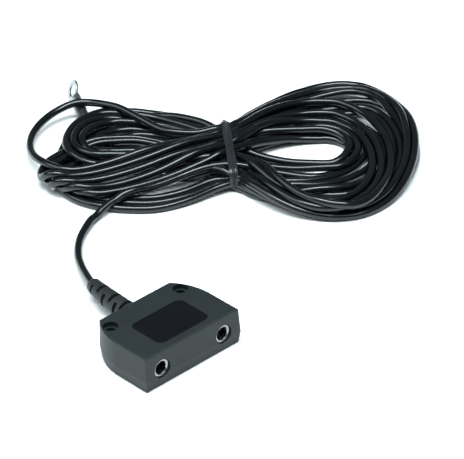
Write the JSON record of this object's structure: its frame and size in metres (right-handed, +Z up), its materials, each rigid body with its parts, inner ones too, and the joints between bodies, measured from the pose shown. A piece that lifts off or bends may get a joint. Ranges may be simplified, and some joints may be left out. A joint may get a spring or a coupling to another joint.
{
  "type": "esd common ground point",
  "caption": "Grounding block with two 4 mm banana sockets and bench screw holes, on a long thin cord tied in a hank that ends in a ring terminal.",
  "frame": {"origin": "bottom centre of the socket block, on the surface it stands on", "axes": "+X along the row of sockets, -Y out of the sockets, +Y towards the cord, +Z up"},
  "size_m": [0.1744, 0.1493, 0.012],
  "materials": {
    "housing": "fine-textured moulded ABS",
    "cover": "fine-textured moulded ABS",
    "label": "satin film",
    "screw_steel": "zinc plated",
    "nickel": "nickel-plated brass",
    "tinned": "tinned copper",
    "resistor_body": "lacquered",
    "copper": "bare stranded copper",
    "relief": "matte moulded PVC",
    "cord_jacket": "glossy PVC",
    "tie_film": "satin plastic over a wire core",
    "boot": "satin sleeve"
  },
  "bodies": {
    "root": {"housing": "housing", "bottom_cover": "cover", "label_inlay": "label", "cover_screws": "screw_steel", "socket_left": "nickel", "socket_right": "nickel", "socket_nut_left": "nickel", "socket_nut_right": "nickel", "solder_tag_left": "tinned", "solder_tag_right": "tinned", "resistor_left": "resistor_body", "resistor_right": "resistor_body", "resistor_leads_left": "tinned", "resistor_leads_right": "tinned", "splice_ferrule": "tinned", "cord_core": "copper", "strain_relief": "relief", "cord_lead": "cord_jacket", "cord_hank": "cord_jacket", "wire_tie": "tie_film", "cord_end": "cord_jacket", "ring_terminal": "tinned", "terminal_sleeve": "boot"}
  },
  "joints": []
}
